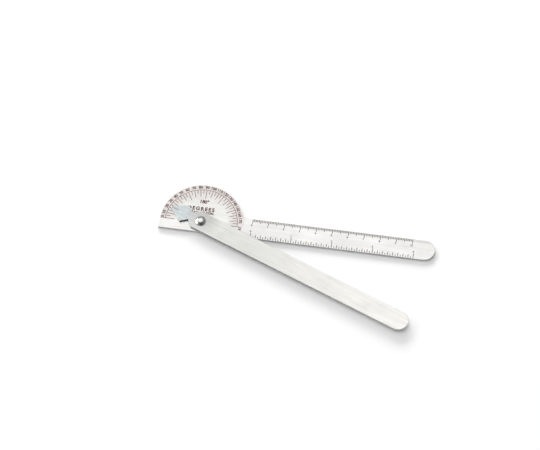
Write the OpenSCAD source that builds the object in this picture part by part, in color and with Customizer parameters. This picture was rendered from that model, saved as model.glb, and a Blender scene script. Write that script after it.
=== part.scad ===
// Pocket goniometer: a half-round protractor dial and a ruler in one strip of steel, with a
// pointer arm that turns on a rivet.
//
// Millimetres. The origin is where the pivot axis meets the flat back that the instrument
// rests on. +X runs along the ruler to its tip, +Y from the pivot to the 90 degree mark, and
// +Z towards the reader.

/* [Dial arm] */
// Radius of the half-round dial
dial_r = 26.2; // [24:0.1:32]
// Length of the ruler, from the pivot axis to its tip
ruler_l = 146.4; // [140:0.1:190]
// Width of the ruler strip
ruler_w = 13.4; // [11:0.1:17]
// Thickness of the sheet that the dial and ruler are stamped from
dial_t = 1.2; // [0.8:0.1:2]
// Radius of the tumbled edge round both plates
edge_r = 0.2; // [0.05:0.05:0.3]

/* [Pointer arm] */
// How far the arm's tip stops short of the ruler's tip when the two are closed
tip_inset = 0.4; // [0:0.1:20]
// Width of the arm strip, and of the arrow head across its barbs
arm_w = 12.4; // [10:0.1:16]
// Thickness of the sheet that the arm is stamped from
arm_t = 1.2; // [0.8:0.1:2]
// Gap along the arm between the arrow's point and the fine line of the degree scale
point_gap = 0.7; // [0:0.1:3]
// Distance of the arrow's barbs from the pivot axis
barb_x = 11.8; // [10.5:0.1:14]
// Distance of the notched neck from the pivot axis
neck_x = 7.7; // [7:0.1:9]
// Width left between the two notches at the neck
neck_w = 5.4; // [4:0.1:8]
// Distance of the arm's shoulders from the pivot axis
shoulder_x = 3.5; // [2:0.1:5]
// Length of the index line on the arrow, back from its point
index_l = 5; // [2:0.1:9]
// Distance from the arrow's point to the start of the index line
index_inset = 1; // [0.5:0.1:2]
// Angle of the arm from the ruler as it lies
rest_angle = -20.9; // [-180:0.1:180]

/* [Pivot] */
// Diameter of the rivet's shank
shank_d = 3.9; // [3:0.1:4.5]
// Radial clearance round the shank
shank_gap = 0.05; // [0.02:0.01:0.1]
// Diameter of the rivet's domed head
head_d = 6.2; // [5.2:0.1:9]
// Height of the domed head
head_h = 1.4; // [1:0.1:3]
// Diameter of the tail, where it fills the countersink in the back of the dial
tail_d = 5.2; // [4.8:0.1:6]
// Depth of the countersink
sink_h = 0.6; // [0.4:0.05:0.7]
// How far the tail is ground below the back
tail_inset = 0.05; // [0:0.01:0.1]
// Diameter of the spacer washer between the plates
spacer_d = 10; // [7:0.1:11]
// Thickness of the spacer washer
spacer_t = 0.3; // [0.2:0.05:0.6]
// Diameter of the spring washer under the head
spring_d = 6.6; // [5:0.1:9]
// Thickness of the spring washer, flattened
spring_t = 0.3; // [0.2:0.05:0.6]

/* [Dial scale] */
// Width of the band of numerals between the rim and the fine line of the scale
band_w = 3.5; // [3:0.1:5]
// Width of the fine line
line_w = 0.3; // [0.1:0.05:0.4]
// Width of a degree tick
degree_w = 0.32; // [0.1:0.02:0.4]
// Length of a five degree tick
five_l = 2.6; // [1:0.1:4]
// Length of a ten degree tick
ten_l = 4.6; // [2:0.1:6]
// Length of a thirty degree tick
thirty_l = 5.9; // [3:0.1:8]
// Depth of every etched mark, which enamel fills flush
mark_h = 0.08; // [0.04:0.01:0.15]
// Gap between a tick and the line or edge that it starts from
tick_gap = 0.06; // [0.04:0.01:0.3]

/* [Ruler scales] */
// Distance of both zero marks from the pivot axis
zero_x = 32; // [28:0.1:40]
// Number of centimetres on the upper edge
centimetres = 10; // [1:1:10]
// Number of inches on the lower edge
inches = 4; // [1:1:4]
// Distance of the marks from the edge of the ruler
edge_gap = 0.35; // [0.3:0.05:1]
// Width of a mark on the ruler
ruler_mark_w = 0.38; // [0.1:0.02:0.4]
// Length of a millimetre mark
millimetre_l = 1.5; // [0.8:0.1:2]
// Length of a half centimetre mark
half_centimetre_l = 2.3; // [1:0.1:3]
// Length of a centimetre mark
centimetre_l = 3; // [2:0.1:4]
// Length of a sixteenth inch mark
sixteenth_l = 1.1; // [0.8:0.1:2]
// Length of an eighth inch mark
eighth_l = 2.1; // [1:0.1:3]
// Length of an inch mark
inch_l = 3.2; // [2:0.1:4]

/* [Hidden] */

// heights, from the back upwards
spacer_z = dial_t;
arm_z = spacer_z + spacer_t;
spring_z = arm_z + arm_t;
head_z = spring_z + spring_t;

// radius of the fine line that the degree ticks hang from
line_r = dial_r - band_w;

// reach of the pointer arm each way from the pivot axis
arm_l = ruler_l - tip_inset;
point_x = line_r - point_gap;

// radii of the pivot
shank_r = shank_d / 2;
bore_r = shank_r + shank_gap;
sink_slope = (tail_d / 2 - shank_r) / sink_h;
dome_r = (head_d * head_d / 4 + head_h * head_h) / (2 * head_h);

// outline points of the arrow, on the side of its upper barb
arrow_point = [-point_x, 0];
barb = [-barb_x, arm_w / 2];
neck = [-neck_x, neck_w / 2];
shoulder = [-shoulder_x, arm_w / 2];

inch = 25.4;
half_turn = 180;
// longer than any edge, for slabs that an intersection trims
reach = ruler_l + arm_l;
// a cut runs this far past the faces it opens
past = 1;

steel = [0.87, 0.88, 0.88];
enamel = [0.27, 0.14, 0.13];

// ---- sheet with tumbled edges ----

// Section of a sheet of thickness t from x = from out to x = to, where both its edges are
// rounded in three flats each
module edge_section(from, to, t) {
    polygon([
        [from, t],
        [from, 0],
        for (a = [-90:30:0]) [to, edge_r] + edge_r * [cos(a) - 1, sin(a)],
        for (a = [0:30:90]) [to, t - edge_r] + edge_r * [cos(a) - 1, sin(a)]
    ]);
}

// Half disc of radius r on the +Y side of the X axis
module half_disc(r, t) {
    rotate_extrude(angle = half_turn, $fn = 128) edge_section(0, r, t);
}

// Strip of width w centred on the X axis, from x = x0 to x = x1
module strip(x0, x1, w, t) {
    translate([x0, 0, 0]) rotate([90, 0, 90]) linear_extrude(x1 - x0) {
        edge_section(0, w / 2, t);
        mirror([1, 0]) edge_section(0, w / 2, t);
    }
}

// Strip that runs from x = x0 to a full round end at x = l
module tongue(x0, l, w, t) {
    strip(x0, l - w / 2, w, t);
    translate([l - w / 2, 0, 0]) rotate([0, 0, -90]) half_disc(w / 2, t);
}

// All the sheet to the right of a straight round edge, which runs from p to q
module beside(p, q, t) {
    way = atan2(q[1] - p[1], q[0] - p[0]);
    out = p[1] * cos(way) - p[0] * sin(way);
    rotate([0, 0, way + 90]) translate([0, reach, 0]) rotate([90, 0, 0])
        linear_extrude(2 * reach) edge_section(-2 * reach, out, t);
}

// The same on both sides of the X axis
module between(p, q, t) {
    intersection() {
        beside(p, q, t);
        mirror([0, 1, 0]) beside(p, q, t);
    }
}

// ---- marks, as flat outlines ----

// One tick on the X axis from x = from to x = to
module tick(from, to, w) {
    translate([from, -w / 2]) square([to - from, w]);
}

// Degree ticks at each of the angles given, hanging l inwards from the fine line
module degree_ticks(angles, l) {
    outer = line_r - line_w / 2 - tick_gap;
    for (a = angles) rotate(a) tick(outer - l, outer, degree_w);
}

module five_degree_marks() {
    degree_ticks([5:10:175], five_l);
}

module ten_degree_marks() {
    degree_ticks([for (a = [10:10:170]) if (a % 30 != 0) a], ten_l);
}

module thirty_degree_marks() {
    degree_ticks([0:30:half_turn], thirty_l);
}

// Fine line from 0 to 180 degrees, and the base lines from its two ends out to the rim
module scale_line() {
    difference() {
        circle(r = line_r + line_w / 2, $fn = 128);
        circle(r = line_r - line_w / 2, $fn = 128);
        translate([-reach, -2 * reach]) square(2 * reach);
    }
    for (a = [0, half_turn]) rotate(a)
        tick(line_r - line_w / 2, dial_r - edge_r - edge_gap, line_w);
}

// Marks square to one edge of the ruler: at each of the places given, l long.
// side is 1 on the upper edge and -1 on the lower edge
module ruler_marks(places, l, side) {
    edge = ruler_w / 2 - edge_gap;
    for (x = places) translate([zero_x + x, 0]) rotate(side * 90)
        tick(edge - l, edge, ruler_mark_w);
}

module millimetre_outline() {
    ruler_marks([for (i = [1:10 * centimetres]) if (i % 5 != 0) i], millimetre_l, 1);
}

module half_centimetre_outline() {
    ruler_marks([5:10:10 * centimetres], half_centimetre_l, 1);
}

module centimetre_outline() {
    ruler_marks([0:10:10 * centimetres], centimetre_l, 1);
}

module sixteenth_outline() {
    ruler_marks([for (i = [1:2:16 * inches]) i * inch / 16], sixteenth_l, -1);
}

module eighth_outline() {
    ruler_marks([for (i = [1:8 * inches]) if (i % 8 != 0) i * inch / 8], eighth_l, -1);
}

module inch_outline() {
    ruler_marks([for (i = [0:inches]) i * inch], inch_l, -1);
}

module index_outline() {
    start = -point_x + index_inset;
    tick(start, start + index_l, degree_w);
}

// Enamel that fills an etched mark flush with a top face at height z
module fill(z) {
    color(enamel) translate([0, 0, z - mark_h]) linear_extrude(mark_h) children();
}

// The recess that the enamel fills
module etch(z) {
    translate([0, 0, z - mark_h]) linear_extrude(mark_h + past) children();
}

// Turns what belongs to the pointer arm to where the arm lies
module turned() {
    rotate([0, 0, rest_angle]) children();
}

// ---- plates ----

// Half-round dial, the squared corner below its left end, and the ruler
module dial_plate() {
    half_disc(dial_r, dial_t);
    tongue(0, ruler_l, ruler_w, dial_t);
    intersection() {
        beside([-dial_r, -ruler_w / 2], [-dial_r, 0], dial_t);
        beside([0, -ruler_w / 2], [-dial_r, -ruler_w / 2], dial_t);
        translate([-2 * dial_r, -ruler_w, -past])
            cube([2 * dial_r, ruler_w, dial_t + 2 * past]);
    }
}

// Long arm with a pointed end, and the arrow head that its notches leave
module pointer_plate() {
    intersection() {
        tongue(-point_x, arm_l, arm_w, arm_t);
        between(neck, shoulder, arm_t);
    }
    intersection() {
        between(arrow_point, barb, arm_t);
        between(barb, neck, arm_t);
    }
}

// Hole for the rivet's shank through a sheet whose faces are at z and z + t
module shank_hole(z, t) {
    translate([0, 0, z - past]) cylinder(h = t + 2 * past, r = bore_r, $fn = 64);
}

// Cone of the countersink, from height z up to where it meets the shank
module sink_cone(z) {
    translate([0, 0, z])
        cylinder(h = sink_h - z, r1 = tail_d / 2 - z * sink_slope, r2 = shank_r, $fn = 64);
}

// Flat ring of outer diameter d and thickness t that lies at height z round the shank
module washer(d, t, z) {
    difference() {
        translate([0, 0, z]) cylinder(h = t, r = d / 2, $fn = 64);
        shank_hole(z, t);
    }
}

// ---- pieces ----

module dial_arm() {
    color(steel) difference() {
        dial_plate();
        shank_hole(0, dial_t);
        sink_cone(-past);
        etch(dial_t) scale_line();
        etch(dial_t) five_degree_marks();
        etch(dial_t) ten_degree_marks();
        etch(dial_t) thirty_degree_marks();
        etch(dial_t) millimetre_outline();
        etch(dial_t) half_centimetre_outline();
        etch(dial_t) centimetre_outline();
        etch(dial_t) sixteenth_outline();
        etch(dial_t) eighth_outline();
        etch(dial_t) inch_outline();
    }
}

module pointer_arm() {
    color(steel) turned() difference() {
        translate([0, 0, arm_z]) pointer_plate();
        shank_hole(arm_z, arm_t);
        etch(arm_z + arm_t) index_outline();
    }
}

// Solid rivet: a domed head, a shank, and a tail set into the countersink
module pivot_rivet() {
    color("silver") {
        difference() {
            translate([0, 0, head_z + head_h - dome_r]) sphere(r = dome_r, $fn = 96);
            translate([-dome_r - past, -dome_r - past, head_z - 2 * dome_r])
                cube([2 * (dome_r + past), 2 * (dome_r + past), 2 * dome_r]);
        }
        translate([0, 0, tail_inset]) cylinder(h = head_z - tail_inset, r = shank_r, $fn = 64);
        sink_cone(tail_inset);
    }
}

module spacer_washer() {
    color("burlywood") washer(spacer_d, spacer_t, spacer_z);
}

module spring_washer() {
    color("dimgray") washer(spring_d, spring_t, spring_z);
}

module degree_scale_line() fill(dial_t) scale_line();
module five_degree_ticks() fill(dial_t) five_degree_marks();
module ten_degree_ticks() fill(dial_t) ten_degree_marks();
module thirty_degree_ticks() fill(dial_t) thirty_degree_marks();
module millimetre_marks() fill(dial_t) millimetre_outline();
module half_centimetre_marks() fill(dial_t) half_centimetre_outline();
module centimetre_marks() fill(dial_t) centimetre_outline();
module sixteenth_inch_marks() fill(dial_t) sixteenth_outline();
module eighth_inch_marks() fill(dial_t) eighth_outline();
module inch_marks() fill(dial_t) inch_outline();
module pointer_index_line() turned() fill(arm_z + arm_t) index_outline();

dial_arm();
pointer_arm();
pivot_rivet();
spacer_washer();
spring_washer();
degree_scale_line();
five_degree_ticks();
ten_degree_ticks();
thirty_degree_ticks();
millimetre_marks();
half_centimetre_marks();
centimetre_marks();
sixteenth_inch_marks();
eighth_inch_marks();
inch_marks();
pointer_index_line();
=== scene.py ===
"""Looks of a pocket goniometer: a half-round protractor dial and a ruler in one strip of stainless
steel, with a pointer arm that turns on a rivet. Metres, in the CAD model's frame: the pivot axis is
Z, the ruler runs along +X to its tip, and the 90 degree mark is on +Y."""
import math

import bmesh
import bpy
import numpy as np
from mathutils import Matrix, Vector


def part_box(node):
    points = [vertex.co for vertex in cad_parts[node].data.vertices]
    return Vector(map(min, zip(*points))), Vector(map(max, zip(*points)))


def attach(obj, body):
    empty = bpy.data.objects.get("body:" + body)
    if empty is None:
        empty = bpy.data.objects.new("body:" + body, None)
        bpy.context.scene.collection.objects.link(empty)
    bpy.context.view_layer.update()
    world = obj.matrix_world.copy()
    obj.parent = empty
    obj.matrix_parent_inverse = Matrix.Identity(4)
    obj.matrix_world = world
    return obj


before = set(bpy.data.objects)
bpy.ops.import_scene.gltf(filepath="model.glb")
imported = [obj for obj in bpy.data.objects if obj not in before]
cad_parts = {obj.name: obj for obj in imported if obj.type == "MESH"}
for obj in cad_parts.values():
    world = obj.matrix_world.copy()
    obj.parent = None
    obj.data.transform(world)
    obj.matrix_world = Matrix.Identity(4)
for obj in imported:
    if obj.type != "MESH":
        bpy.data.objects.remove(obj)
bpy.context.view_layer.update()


# ---- Camera ----
# The instrument is looked at from its reader's side, down on the dial, and from far enough off
# that its two strips hardly taper.
MM = 0.001
CAMERA_AZIMUTH = math.radians(14.35)
CAMERA_ELEVATION = math.radians(62.85)
CAMERA_ROLL = math.radians(-5.68)
CAMERA_DISTANCE = 1.5
LENS_MM = 161.2
SENSOR_MM = 36
NEAR_CLIP = 0.05
plate_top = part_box("dial_arm")[1].z
LOOKED_AT = Vector((42.9 * MM, 4.0 * MM, plate_top))


def make_camera():
    """Camera whose back points along the azimuth and elevation, turned round that line by the roll."""
    flat = math.cos(CAMERA_ELEVATION)
    back = Vector((math.sin(CAMERA_AZIMUTH) * flat, -math.cos(CAMERA_AZIMUTH) * flat,
                   math.sin(CAMERA_ELEVATION)))
    level = Vector((math.cos(CAMERA_AZIMUTH), math.sin(CAMERA_AZIMUTH), 0))
    upright = back.cross(level)
    right = level * math.cos(CAMERA_ROLL) + upright * math.sin(CAMERA_ROLL)
    up = upright * math.cos(CAMERA_ROLL) - level * math.sin(CAMERA_ROLL)
    data = bpy.data.cameras.new("reader_camera")
    data.lens = LENS_MM
    data.sensor_width = SENSOR_MM
    data.clip_start = NEAR_CLIP
    camera = bpy.data.objects.new("reader_camera", data)
    turned = Matrix((right, up, back)).transposed().to_4x4()
    camera.matrix_world = Matrix.Translation(LOOKED_AT + back * CAMERA_DISTANCE) @ turned
    bpy.context.scene.collection.objects.link(camera)
    bpy.context.scene.camera = camera


make_camera()


# ---- Dial arm ----
# Half-round dial and ruler, stamped from one strip of stainless sheet, tumbled to break its edges
# and brushed along the ruler. The dial's middle is a little greyer than the ruler.
DIAL_STEEL = (0.705, 0.70, 0.687, 1)
DIAL_STEEL_SHADED = (0.66, 0.655, 0.645, 1)
DIAL_GREYER = (0.645, 0.645, 0.625, 1)
DIAL_FILM = (0.585, 0.555, 0.54, 1)
RULER_FILM = (0.57, 0.56, 0.545, 1)
SCRATCH_BRIGHT = (0.86, 0.86, 0.85, 1)
EDGE_STEEL = (0.62, 0.62, 0.61, 1)
# Painted light: the straight walls are painted paler than the steel, for the bright floor they mirror.
WALL_PAINTED_LIGHT = (0.84, 0.84, 0.83, 1)
BLACK = (0, 0, 0, 1)
LINE_SHARE = 0.14
HAIR_SHARE = 0.32
SATIN_ROUGHNESS = 0.36
SMUDGE_ROUGHER = 0.08
EDGE_SMOOTHER = 0.14
GRAIN_STRENGTH = 0.25
GRAIN_DEPTH = 0.01 * MM
FINE_GRAIN = (140, 9500, 9500)
MIDDLE_GRAIN = (40, 2600, 2600)
BROAD_GRAIN = (16, 700, 700)
HAIR_LAYERS = ((0.35, 5200), (1.9, 6100), (2.75, 5700))
HAIR_ALONG = 110
GREYER_REACH = (0.4, 0.78)
FILM_RING = (0.6, 0.78)
FILM_ENDS = (0.98, 1.06)
WELD_GAP = 0.001 * MM
CREASE_ANGLE = math.radians(35)
LEVEL_WEIGHT = 100


def put(tree, kind, inputs=None, **settings):
    """Adds a shader node with its settings, and gives each input, named or numbered, a value or a link."""
    made = tree.nodes.new("ShaderNode" + kind)
    for name, value in settings.items():
        setattr(made, name, value)
    for key, value in (inputs or {}).items():
        if isinstance(value, bpy.types.NodeSocket):
            tree.links.new(value, made.inputs[key])
        else:
            made.inputs[key].default_value = value
    return made


def sum_of(tree, first, second):
    """First plus second."""
    return put(tree, "Math", {0: first, 1: second}, operation="ADD").outputs[0]


def product(tree, first, second):
    """First times second."""
    return put(tree, "Math", {0: first, 1: second}, operation="MULTIPLY").outputs[0]


def larger(tree, first, second):
    """The larger of the two."""
    return put(tree, "Math", {0: first, 1: second}, operation="MAXIMUM").outputs[0]


def ramp(tree, value, low, high, to_low=0.0, to_high=1.0):
    """Value taken from low..high to to_low..to_high, and held at its ends."""
    return put(tree, "MapRange", {"Value": value, "From Min": low, "From Max": high,
                                  "To Min": to_low, "To Max": to_high}).outputs[0]


def mixed(tree, share, first, second):
    """Colour from first to second as share goes from 0 to 1."""
    share_socket, first_socket, second_socket = 0, 6, 7
    return put(tree, "Mix", {share_socket: share, first_socket: first, second_socket: second},
               data_type="RGBA").outputs[2]


def noise(tree, vector, stretch=(1, 1, 1), turn=0.0, detail=2.0, roughness=0.5, bend=0.0):
    """Noise from 0 to 1 whose cells per metre along each axis are stretch, turned about Z first."""
    turned = put(tree, "Mapping", {"Vector": vector, "Rotation": (0, 0, turn)}).outputs[0]
    scaled = put(tree, "Mapping", {"Vector": turned, "Scale": stretch}).outputs[0]
    return put(tree, "TexNoise", {"Vector": scaled, "Scale": 1, "Detail": detail,
                                  "Roughness": roughness, "Distortion": bend}).outputs[0]


def new_group(name, inputs, outputs):
    """Empty shader group, with the sockets that its nodes read and write."""
    tree = bpy.data.node_groups.new(name, "ShaderNodeTree")
    for label, kind in inputs:
        tree.interface.new_socket(label, in_out="INPUT", socket_type="NodeSocket" + kind)
    for label in outputs:
        tree.interface.new_socket(label, in_out="OUTPUT", socket_type="NodeSocketFloat")
    given = tree.nodes.new("NodeGroupInput").outputs
    return tree, given, tree.nodes.new("NodeGroupOutput").inputs


def make_brushed_grain():
    """Lines along X: noise at three widths, each some 40 to 70 times longer than wide. Lines is their
    sum taken to 0..1, with the broadest at 0.4, and Height is half the sum of the two finest."""
    tree, given, out = new_group("brushed_grain", [("Vector", "Vector")], ["Lines", "Height"])
    fine = noise(tree, given["Vector"], FINE_GRAIN, detail=3, roughness=0.6)
    middle = noise(tree, given["Vector"], MIDDLE_GRAIN)
    broad = noise(tree, given["Vector"], BROAD_GRAIN)
    pair = sum_of(tree, fine, middle)
    tree.links.new(ramp(tree, sum_of(tree, pair, product(tree, broad, 0.4)), 0.9, 1.5), out["Lines"])
    tree.links.new(product(tree, pair, 0.5), out["Height"])
    return tree


def make_handling_marks():
    """Marks of use. Scratches are fine hairs in three directions, where stretched noise passes a high
    level inside patches. Smudges are soft blotches a fingertip wide. Clouds are a slow drift."""
    tree, given, out = new_group("handling_marks", [("Vector", "Vector")],
                                 ["Scratches", "Smudges", "Clouds"])
    hairs = 0.0
    for turn, across in HAIR_LAYERS:
        line = noise(tree, given["Vector"], (HAIR_ALONG, across, across), turn, detail=0)
        hairs = larger(tree, hairs, ramp(tree, line, 0.755, 0.795))
    patches = ramp(tree, noise(tree, given["Vector"], (170, 170, 170), detail=1), 0.5, 0.64)
    blotch = noise(tree, given["Vector"], (95, 95, 95), detail=3, roughness=0.55, bend=0.6)
    drift = noise(tree, given["Vector"], (36, 60, 60))
    tree.links.new(product(tree, hairs, patches), out["Scratches"])
    tree.links.new(ramp(tree, blotch, 0.47, 0.75), out["Smudges"])
    tree.links.new(ramp(tree, drift, 0.34, 0.66), out["Clouds"])
    return tree


def make_tumbled_edge():
    """By the height of the face's normal, 1 on a flat face and 0 on a straight wall: Edge is 1 on a
    rounded edge between the two, and Wall is 1 on straight walls."""
    tree, _, out = new_group("tumbled_edge", [], ["Edge", "Wall"])
    normal = put(tree, "NewGeometry").outputs["True Normal"]
    upright = put(tree, "SeparateXYZ", {0: normal}).outputs["Z"]
    lift = put(tree, "Math", {0: upright}, operation="ABSOLUTE").outputs[0]
    off_flat = ramp(tree, lift, 0.985, 0.995, 1, 0)
    off_wall = ramp(tree, lift, 0.02, 0.1)
    tree.links.new(product(tree, off_flat, off_wall), out["Edge"])
    tree.links.new(ramp(tree, lift, 0.1, 0.5, 1, 0), out["Wall"])
    return tree


brushed_grain = make_brushed_grain()
handling_marks = make_handling_marks()
tumbled_edge = make_tumbled_edge()


def new_material(name):
    """Empty node material, its nodes and its Principled BSDF."""
    material = bpy.data.materials.new(name)
    material.use_nodes = True
    tree = material.node_tree
    shader = next(n for n in tree.nodes if n.type == "BSDF_PRINCIPLED")
    return material, tree, shader


def nearness(tree, vector, centre, near, far):
    """1 within near of a point in the XY plane, and 0 past far of it."""
    shifted = put(tree, "Mapping", {"Vector": vector, "Location": (-centre[0], -centre[1], 0)}).outputs[0]
    flat = put(tree, "VectorMath", {0: shifted, 1: (1, 1, 0)}, operation="MULTIPLY").outputs[0]
    length = put(tree, "VectorMath", {0: flat}, operation="LENGTH").outputs["Value"]
    return ramp(tree, length, near, far, 1, 0)


def satin_steel(name, along, plain, shaded, stains_and_painted_light):
    """Brushed stainless sheet with its grain at the angle along from X: darker in its lines, drifting
    slowly between two greys, dulled by smudges, with bright fine hairs, straight walls painted paler as
    painted light, and polished edges. The last argument makes pairs of mask and colour, laid over the
    plain steel one after the other: stains, and on the pointer arm painted shade and reflections."""
    material, tree, shader = new_material(name)
    place = put(tree, "TexCoord").outputs["Object"]
    lengthwise = put(tree, "Mapping", {"Vector": place, "Rotation": (0, 0, -along)}).outputs[0]
    grain = put(tree, "Group", {"Vector": lengthwise}, node_tree=brushed_grain).outputs
    marks = put(tree, "Group", {"Vector": lengthwise}, node_tree=handling_marks).outputs
    form = put(tree, "Group", node_tree=tumbled_edge).outputs
    colour = mixed(tree, form["Wall"], mixed(tree, marks["Clouds"], plain, shaded), WALL_PAINTED_LIGHT)
    for mask, laid_colour in stains_and_painted_light(tree, lengthwise):
        colour = mixed(tree, mask, colour, laid_colour)
    lined = mixed(tree, product(tree, grain["Lines"], LINE_SHARE), colour, BLACK)
    haired = mixed(tree, product(tree, marks["Scratches"], HAIR_SHARE), lined, SCRATCH_BRIGHT)
    tree.links.new(mixed(tree, form["Edge"], haired, EDGE_STEEL), shader.inputs["Base Color"])
    shader.inputs["Metallic"].default_value = 1
    brushed = ramp(tree, grain["Lines"], 0, 1, SATIN_ROUGHNESS - 0.05, SATIN_ROUGHNESS + 0.07)
    dulled = sum_of(tree, brushed, product(tree, marks["Smudges"], SMUDGE_ROUGHER))
    polished = sum_of(tree, dulled, product(tree, form["Edge"], -EDGE_SMOOTHER))
    tree.links.new(polished, shader.inputs["Roughness"])
    height = sum_of(tree, grain["Height"], product(tree, marks["Scratches"], -0.4))
    bump = put(tree, "Bump", {"Height": height, "Strength": GRAIN_STRENGTH, "Distance": GRAIN_DEPTH})
    tree.links.new(bump.outputs[0], shader.inputs["Normal"])
    return material


def dial_stains(tree, place):
    """The greyer steel of the half-round dial, which ends where the ruler starts, and the film that
    wiping leaves between close marks. The film lies on the top face only, in uneven patches: brownish in
    a ring inside the rim, and grey along the millimetre marks."""
    greyer_near, greyer_far = (share * dial_radius for share in GREYER_REACH)
    ring_inner, ring_outer = (share * dial_radius for share in FILM_RING)
    ends_near, ends_far = (share * dial_radius for share in FILM_ENDS)
    greyer = nearness(tree, place, (0, dial_radius / 2), greyer_near, greyer_far)
    along, across, up = put(tree, "SeparateXYZ", {0: place}).outputs
    top = ramp(tree, up, plate_top * 0.5, plate_top * 0.95)
    blotches = ramp(tree, noise(tree, place, (300, 300, 300)), 0.3, 0.6, 0.75, 1)
    patchy = product(tree, blotches, top)
    inside = nearness(tree, place, (0, 0), ring_inner, ring_outer)
    outside = ramp(tree, inside, 0, 1, 1, 0)
    upper_half = ramp(tree, across, -2 * MM, 2 * MM)
    off_ruler = ramp(tree, along, ends_near, ends_far, 1, 0)
    ring = product(tree, product(tree, outside, upper_half), off_ruler)
    marks_low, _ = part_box("millimetre_marks")
    beside = ramp(tree, across, marks_low.y - 0.6 * MM, marks_low.y + 0.2 * MM)
    past_start = ramp(tree, along, marks_low.x - 1 * MM, marks_low.x)
    row = product(tree, beside, past_start)
    return [(greyer, DIAL_GREYER), (product(tree, ring, patchy), DIAL_FILM),
            (product(tree, row, patchy), RULER_FILM)]


def finish_node(name, material, rounded=True):
    """Gives a CAD node its material, and lets light run smoothly over its rounded faces."""
    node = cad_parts[name]
    node.data.materials.clear()
    node.data.materials.append(material)
    if rounded:
        node.data.shade_smooth()
        joined = node.modifiers.new("joined", "WELD")
        joined.merge_threshold = WELD_GAP
        creased = node.modifiers.new("creased", "EDGE_SPLIT")
        creased.split_angle = CREASE_ANGLE
        level = node.modifiers.new("level", "WEIGHTED_NORMAL")
        level.weight = LEVEL_WEIGHT


dial_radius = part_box("dial_arm")[1].y
finish_node("dial_arm", satin_steel("satin_steel_dial", 0, DIAL_STEEL, DIAL_STEEL_SHADED, dial_stains))


# ---- Enamelled marks ----
# The scales are etched into the dial and the ruler and wiped full of dark enamel, reddish brown on
# the dial and nearly black on the ruler. It stands flush, and is mottled and thin in places.
DIAL_ENAMEL = (0.065, 0.011, 0.011, 1)
DIAL_ENAMEL_THIN = (0.15, 0.045, 0.04, 1)
RULER_ENAMEL = (0.012, 0.007, 0.006, 1)
RULER_ENAMEL_THIN = (0.05, 0.03, 0.025, 1)
ENAMEL_GLOSS = 0.2
ENAMEL_STRENGTH = 0.4
ENAMEL_DEPTH = 0.02 * MM


def enamel(name, full, thin):
    """Baked enamel: mottled between its full and its thin colour, with a low uneven gloss."""
    material, tree, shader = new_material(name)
    place = put(tree, "TexCoord").outputs["Object"]
    mottle = noise(tree, place, (1700, 1700, 1700), detail=4, roughness=0.65)
    patch = noise(tree, place, (240, 240, 240))
    worn = product(tree, ramp(tree, mottle, 0.35, 0.75), ramp(tree, patch, 0.3, 0.7))
    tree.links.new(mixed(tree, worn, full, thin), shader.inputs["Base Color"])
    tree.links.new(ramp(tree, mottle, 0.3, 0.7, 0.32, 0.55), shader.inputs["Roughness"])
    shader.inputs["Specular IOR Level"].default_value = ENAMEL_GLOSS
    bump = put(tree, "Bump", {"Height": mottle, "Strength": ENAMEL_STRENGTH, "Distance": ENAMEL_DEPTH})
    tree.links.new(bump.outputs[0], shader.inputs["Normal"])
    return material


dial_enamel = enamel("dial_enamel", DIAL_ENAMEL, DIAL_ENAMEL_THIN)
ruler_enamel = enamel("ruler_enamel", RULER_ENAMEL, RULER_ENAMEL_THIN)
for marks in ("degree_scale_line", "five_degree_ticks", "ten_degree_ticks", "thirty_degree_ticks"):
    finish_node(marks, dial_enamel, rounded=False)
for marks in ("millimetre_marks", "half_centimetre_marks", "centimetre_marks",
              "sixteenth_inch_marks", "eighth_inch_marks", "inch_marks"):
    finish_node(marks, ruler_enamel, rounded=False)


# ---- Numerals and lettering ----
# Screen printed in the same enamels, standing a hundredth of a millimetre proud: the degrees round the
# dial, the centimetres and inches at the ends of their marks, and plain words in the dial's middle.
PRINT_SUNK = 0.03 * MM
PRINT_PROUD = 0.012 * MM
DEGREE_NUMERAL = 2.0 * MM
DEGREE_BOLD = 0.035
FIRST_NUMERAL_AT = 177.6
LAST_NUMERAL_AT = -5.2
RULER_NUMERAL = 1.35 * MM
RULER_BOLD = 0.03
NUMERAL_GAP = 0.45 * MM
NUMERAL_SHIFT = -0.35 * MM
MERGED = 1e-5
CURVE_STEPS = 4
CENTIMETRE = 10 * MM
INCH = 25.4 * MM
WORD_BOLD = 0.04
RANGE_HEIGHT = 2.6 * MM
RANGE_PLACE = (0, 14.4 * MM)
DEGREES_HEIGHT = 2.7 * MM
DEGREES_PLACE = (-1.5 * MM, 9.3 * MM)
DEGREES_SPACING = 1.3
STAINLESS_HEIGHT = 1.6 * MM
STAINLESS_PLACE = (-0.4 * MM, 6.7 * MM)


def word_outline(words, height, bold, spacing):
    """Closed solid of the words, centred on the origin: scaled in X and Y so that it is height high
    along Y, and from 0 to 1 along Z."""
    curve = bpy.data.curves.new("words", "FONT")
    curve.body = words
    curve.space_character = spacing
    curve.offset = bold
    curve.extrude = 0.5
    curve.resolution_u = CURVE_STEPS
    holder = bpy.data.objects.new("words", curve)
    bpy.context.scene.collection.objects.link(holder)
    solid_words = holder.evaluated_get(bpy.context.evaluated_depsgraph_get())
    shape = bpy.data.meshes.new_from_object(solid_words)
    bpy.data.objects.remove(holder)
    bpy.data.curves.remove(curve)
    solid = bmesh.new()
    solid.from_mesh(shape)
    bmesh.ops.remove_doubles(solid, verts=solid.verts, dist=MERGED)
    bmesh.ops.recalc_face_normals(solid, faces=solid.faces)
    solid.to_mesh(shape)
    solid.free()
    spots = np.empty(len(shape.vertices) * 3, np.float32)
    shape.vertices.foreach_get("co", spots)
    spots = spots.reshape(-1, 3)
    low, high = spots.min(0), spots.max(0)
    size = height / (high[1] - low[1])
    middle = (low + high) / 2
    middle[2] = low[2]
    placed = (spots - middle) * (size, size, 1)
    shape.vertices.foreach_set("co", placed.astype(np.float32).ravel())
    return shape


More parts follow.
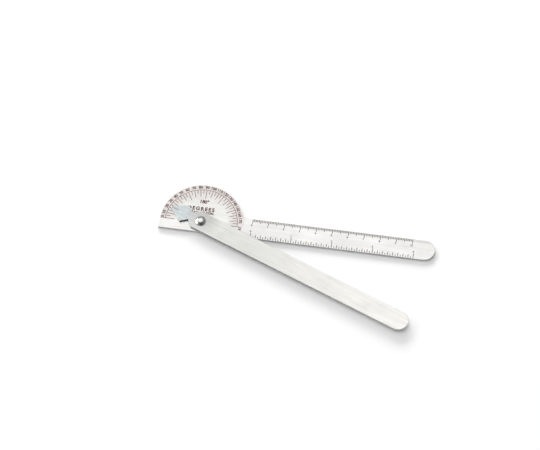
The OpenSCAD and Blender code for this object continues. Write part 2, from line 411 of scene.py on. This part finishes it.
def printed(name, labels, material, height, bold, spacing=1.0):
    """One printed piece on the dial arm's top face. Each label is (words, x, y, turn): its outline turns
    about its middle and moves to x, y, and its thickness runs from just under the face to just above."""
    sheet = bmesh.new()
    for words, x, y, turn in labels:
        shape = word_outline(words, height, bold, spacing)
        place = Matrix.Translation((x, y, plate_top - PRINT_SUNK)) @ Matrix.Rotation(turn, 4, "Z")
        shape.transform(place @ Matrix.Diagonal((1, 1, PRINT_SUNK + PRINT_PROUD, 1)))
        sheet.from_mesh(shape)
        bpy.data.meshes.remove(shape)
    mesh = bpy.data.meshes.new(name)
    sheet.to_mesh(mesh)
    sheet.free()
    mesh.materials.append(material)
    piece = bpy.data.objects.new(name, mesh)
    bpy.context.scene.collection.objects.link(piece)
    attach(piece, "dial")


def degree_labels(radius):
    """A numeral every 10 degrees on a circle, with its foot towards the pivot. The scale reads 0 at its
    left end, where the arrow points when the two strips are closed. The first and the last numeral
    stand beside the base line, which runs out through the ring."""
    readings = [(reading, math.pi - math.radians(reading)) for reading in range(10, 180, 10)]
    readings += [(0, math.radians(FIRST_NUMERAL_AT)), (180, math.radians(LAST_NUMERAL_AT))]
    return [(str(reading), radius * math.cos(at), radius * math.sin(at), at - math.pi / 2)
            for reading, at in readings]


def ruler_labels(marks, count, pitch, side):
    """Numerals from 0 to count, each beyond the inner end of its mark. side is -1 below marks that hang
    from the upper edge and 1 above marks that stand on the lower edge."""
    low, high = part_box(marks)
    first = (low.x + high.x - count * pitch) / 2
    inner = high.y if side > 0 else low.y
    y = inner + side * (NUMERAL_GAP + RULER_NUMERAL / 2)
    return [(str(i), first + i * pitch + NUMERAL_SHIFT, y, 0) for i in range(count + 1)]


numeral_ring = (dial_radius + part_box("degree_scale_line")[1].y) / 2
printed("degree_numerals", degree_labels(numeral_ring), dial_enamel,
        DEGREE_NUMERAL, DEGREE_BOLD)
printed("centimetre_numerals", ruler_labels("centimetre_marks", 10, CENTIMETRE, -1),
        ruler_enamel, RULER_NUMERAL, RULER_BOLD)
printed("inch_numerals", ruler_labels("inch_marks", 4, INCH, 1),
        ruler_enamel, RULER_NUMERAL, RULER_BOLD)
printed("range_lettering", [("180°", *RANGE_PLACE, 0)], dial_enamel,
        RANGE_HEIGHT, WORD_BOLD)
printed("degrees_lettering", [("DEGREES", *DEGREES_PLACE, 0)], dial_enamel,
        DEGREES_HEIGHT, WORD_BOLD, DEGREES_SPACING)
printed("stainless_lettering", [("STAINLESS STEEL", *STAINLESS_PLACE, 0)], dial_enamel,
        STAINLESS_HEIGHT, WORD_BOLD)


# ---- Spacer washer ----
# Thin bronze washer between the plates, which keeps the pointer arm off the print. It is stamped from
# sheet and faced in a lathe, which leaves soft rings.
BRONZE = (0.62, 0.42, 0.22, 1)
BRONZE_DARK = (0.38, 0.25, 0.13, 1)
BRONZE_RINGS = 0.754 * MM
BRONZE_ROUGHNESS = 0.32
WAVE_RADIANS = 20
TURNED_STRENGTH = 0.15
TURNED_DEPTH = 0.006 * MM


def turned_metal(name, bright, dark, ring_pitch, roughness):
    """Metal turned or formed about the Z axis: rings at a pitch, broken by noise, between a bright and a
    dark colour, with the dark gathering in soft patches. The wave runs through 20 radians in a unit of
    its scale, so its scale is a full turn over 20 pitches."""
    material, tree, shader = new_material(name)
    place = put(tree, "TexCoord").outputs["Object"]
    scale = 2 * math.pi / (WAVE_RADIANS * ring_pitch)
    rings = put(tree, "TexWave", {"Vector": place, "Scale": scale, "Distortion": 0.6, "Detail": 2,
                                  "Detail Scale": 3},
                wave_type="RINGS", rings_direction="Z").outputs["Fac"]
    speck = noise(tree, place, (2600, 2600, 2600), detail=4, roughness=0.6)
    patch = ramp(tree, noise(tree, place, (420, 420, 420)), 0.35, 0.7)
    worked = sum_of(tree, rings, speck)
    share = product(tree, worked, sum_of(tree, product(tree, patch, 0.5), 0.15))
    tree.links.new(mixed(tree, share, bright, dark), shader.inputs["Base Color"])
    shader.inputs["Metallic"].default_value = 1
    tree.links.new(ramp(tree, worked, 0.4, 1.6, roughness - 0.04, roughness + 0.08),
                   shader.inputs["Roughness"])
    bump = put(tree, "Bump", {"Height": worked, "Strength": TURNED_STRENGTH, "Distance": TURNED_DEPTH})
    tree.links.new(bump.outputs[0], shader.inputs["Normal"])
    return material


finish_node("spacer_washer", turned_metal("bronze_spacer", BRONZE, BRONZE_DARK,
                                          BRONZE_RINGS, BRONZE_ROUGHNESS))


# ---- Pointer arm ----
# The second strip, plain and brushed along its own length, with an arrow head between two V notches.
# The steel is painted darker towards the pivot than at the handled end, as painted shade, with a grey
# patch round the pivot painted as the shadow and reflection of the rivet's head, a painted blue-grey
# reflection on the arrow, and painted black shade on the walls of the two notches. Distances are from
# the pivot, along the arm towards its handled end and across it.
POINTER_TURN = math.radians(-20.9)
POINTER_STEEL = (0.72, 0.712, 0.688, 1)
POINTER_STEEL_SHADED = (0.655, 0.65, 0.625, 1)
# Painted reflection: the arrow is painted blue-grey and darker from its point to the neck.
ARROW_PAINTED_REFLECTION = (0.49, 0.53, 0.54, 1)
# Painted shadow and reflection of the rivet's head: a grey patch round the pivot.
RIVET_PAINTED_SHADOW = (0.42, 0.42, 0.41, 1)
RIVET_SHADOW_SHARE = 0.85
# Painted shade: black on the walls of the two notches.
NOTCH_PAINTED_SHADE = (0.03, 0.03, 0.028, 1)
# Painted shade: the steel is darker towards the pivot than at the handled end.
POINTER_PAINTED_SHADE = (0.60, 0.598, 0.577, 1)
PIVOT_SHADE_FADES = (50 * MM, 105 * MM)
ARROW_REFLECTION_FADES = (-7 * MM, -1 * MM)
FADES_WANDER = 4 * MM
RIVET_SHADOW_MIDDLE = (0.5 * MM, 3.5 * MM)
RIVET_SHADOW_REACH = (4 * MM, 12.5 * MM)
NOTCH_ALONG = -9.7 * MM
NOTCH_ACROSS = 4.4 * MM
NOTCH_REACH = (2.6 * MM, 4 * MM)
INDEX_ENAMEL = (0.02, 0.018, 0.017, 1)
INDEX_ENAMEL_THIN = (0.09, 0.08, 0.075, 1)


def pointer_stains(tree, place):
    """Painted shade, the steel darker towards the pivot than at the handled end; a painted blue-grey
    reflection from the arrow's point to the neck; a grey patch round the pivot, painted as the shadow and
    reflection of the rivet's head; and painted black shade on the walls of the two notches."""
    along = put(tree, "SeparateXYZ", {0: place}).outputs["X"]
    wander = product(tree, noise(tree, place, (160, 160, 160), detail=3), FADES_WANDER)
    uneven = sum_of(tree, along, wander)
    pivot_shade = ramp(tree, uneven, *PIVOT_SHADE_FADES, 1, 0)
    arrow_reflection = ramp(tree, uneven, *ARROW_REFLECTION_FADES, 1, 0)
    rivet_shadow = product(tree, nearness(tree, place, RIVET_SHADOW_MIDDLE, *RIVET_SHADOW_REACH), RIVET_SHADOW_SHARE)
    wall = put(tree, "Group", node_tree=tumbled_edge).outputs["Wall"]
    notch_shade = 0.0
    for side in (-1, 1):
        notch = nearness(tree, place, (NOTCH_ALONG, side * NOTCH_ACROSS), *NOTCH_REACH)
        notch_shade = sum_of(tree, notch_shade, notch)
    return [(pivot_shade, POINTER_PAINTED_SHADE), (arrow_reflection, ARROW_PAINTED_REFLECTION), (rivet_shadow, RIVET_PAINTED_SHADOW),
            (product(tree, notch_shade, wall), NOTCH_PAINTED_SHADE)]


finish_node("pointer_arm", satin_steel("satin_steel_arm", POINTER_TURN, POINTER_STEEL,
                                       POINTER_STEEL_SHADED, pointer_stains))
finish_node("pointer_index_line", enamel("pointer_enamel", INDEX_ENAMEL, INDEX_ENAMEL_THIN), rounded=False)


# ---- Spring washer ----
# Dark spring steel washer under the rivet's head. It presses the arm down on the spacer, so that the
# arm holds the angle it is set to.
SPRING_STEEL = (0.22, 0.22, 0.23, 1)
SPRING_STEEL_DARK = (0.07, 0.07, 0.075, 1)
SPRING_RINGS = 0.628 * MM
SPRING_ROUGHNESS = 0.34

finish_node("spring_washer", turned_metal("spring_steel", SPRING_STEEL, SPRING_STEEL_DARK,
                                          SPRING_RINGS, SPRING_ROUGHNESS))


# ---- Pivot rivet ----
# Solid steel rivet. Its domed head was rolled over by a spinning tool, which leaves soft rings, and
# its tail fills a countersink in the back of the dial.
RIVET_STEEL = (0.72, 0.72, 0.71, 1)
RIVET_STEEL_DARK = (0.48, 0.48, 0.48, 1)
RIVET_RINGS = 1.005 * MM
RIVET_ROUGHNESS = 0.24

finish_node("pivot_rivet", turned_metal("polished_rivet", RIVET_STEEL, RIVET_STEEL_DARK,
                                        RIVET_RINGS, RIVET_ROUGHNESS))


# ---- Floor and light ----
# A plain pale floor. The room is bright overhead and behind, where the steel mirrors it, and dark in
# front. A wide low soft box at the back throws the shadows and isn't mirrored in the steel, and one at
# the left is mirrored in the rivet's head and the walls.
FLOOR_SIZE = 8
FLOOR_DROP = 0.02 * MM
FLOOR_PALE = (0.88, 0.88, 0.88, 1)
FLOOR_ROUGHNESS = 0.9
FLOOR_GLOSS = 0.1
ROOM_BRIGHT = (1.61, 1.61, 1.6, 1)
ROOM_GREY = (0.28, 0.283, 0.287, 1)
ROOM_DARK = (0.05, 0.05, 0.05, 1)
ROOM_SEEN = (0.95, 0.95, 0.95, 1)
BRIGHT_PATCH = (206, 64)
BRIGHT_REACH = (20, 50)
DARK_PATCH = (22, 52)
DARK_REACH = (20, 48)
BOX_DISTANCE = 3.0


def direction(azimuth, elevation):
    """Unit vector towards an azimuth, which is 0 on the reader's side and grows towards +X, and an
    elevation, both in degrees: the sine and cosine of the azimuth, shortened by the elevation's cosine."""
    turned = math.radians(azimuth)
    raised = math.radians(elevation)
    flat = math.cos(raised)
    return Vector((math.sin(turned) * flat, -math.cos(turned) * flat, math.sin(raised)))


def make_floor():
    """One large square just under the instrument's back."""
    half = FLOOR_SIZE / 2
    mesh = bpy.data.meshes.new("studio_floor")
    corners = [(x * half, y * half, -FLOOR_DROP) for x, y in ((-1, -1), (1, -1), (1, 1), (-1, 1))]
    mesh.from_pydata(corners, [], [(0, 1, 2, 3)])
    material, _, shader = new_material("pale_floor")
    shader.inputs["Base Color"].default_value = FLOOR_PALE
    shader.inputs["Roughness"].default_value = FLOOR_ROUGHNESS
    shader.inputs["Specular IOR Level"].default_value = FLOOR_GLOSS
    mesh.materials.append(material)
    floor = bpy.data.objects.new("studio_floor", mesh)
    bpy.context.scene.collection.objects.link(floor)


def soft_box(name, azimuth, elevation, size, power, mirrored):
    """Rectangular area light that faces the middle of the strips from an azimuth and elevation. The
    metal shows its reflection only if it is mirrored."""
    away = direction(azimuth, elevation)
    data = bpy.data.lights.new(name, "AREA")
    data.shape = "RECTANGLE"
    data.size, data.size_y = size
    data.energy = power
    light = bpy.data.objects.new(name, data)
    light.location = Vector((LOOKED_AT.x, 0, 0)) + away * BOX_DISTANCE
    light.rotation_euler = away.to_track_quat("Z", "Y").to_euler()
    light.visible_glossy = mirrored
    bpy.context.scene.collection.objects.link(light)


def patch_share(tree, way, middle, near, far):
    """1 within near degrees of the direction in the middle, and 0 past far degrees of it."""
    lined_up = put(tree, "VectorMath", {0: way, 1: direction(*middle)}, operation="DOT_PRODUCT")
    none_below = math.cos(math.radians(far))
    full_above = math.cos(math.radians(near))
    return ramp(tree, lined_up.outputs["Value"], none_below, full_above)


def make_room():
    """Room light by direction: grey, with a dark patch in front and a bright one overhead and behind. The
    camera itself sees an even pale wall."""
    world = bpy.data.worlds.new("studio_room")
    bpy.context.scene.world = world
    world.use_nodes = True
    tree = world.node_tree
    tree.nodes.clear()
    way = put(tree, "TexCoord").outputs["Generated"]
    dimmed = mixed(tree, patch_share(tree, way, DARK_PATCH, *DARK_REACH), ROOM_GREY, ROOM_DARK)
    lit = mixed(tree, patch_share(tree, way, BRIGHT_PATCH, *BRIGHT_REACH), dimmed, ROOM_BRIGHT)
    room = put(tree, "Background", {"Color": lit, "Strength": 1})
    wall = put(tree, "Background", {"Color": ROOM_SEEN, "Strength": 1})
    seen = put(tree, "LightPath").outputs["Is Camera Ray"]
    mix = put(tree, "MixShader", {0: seen, 1: room.outputs[0], 2: wall.outputs[0]})
    out = tree.nodes.new("ShaderNodeOutputWorld")
    tree.links.new(mix.outputs[0], out.inputs[0])


make_floor()
make_room()
soft_box("back_soft_box", azimuth=202, elevation=10, size=(2.8, 1.0), power=260, mirrored=False)
soft_box("left_soft_box", azimuth=262, elevation=11, size=(3.6, 1.1), power=88, mirrored=True)
bpy.context.scene.view_settings.view_transform = "Standard"
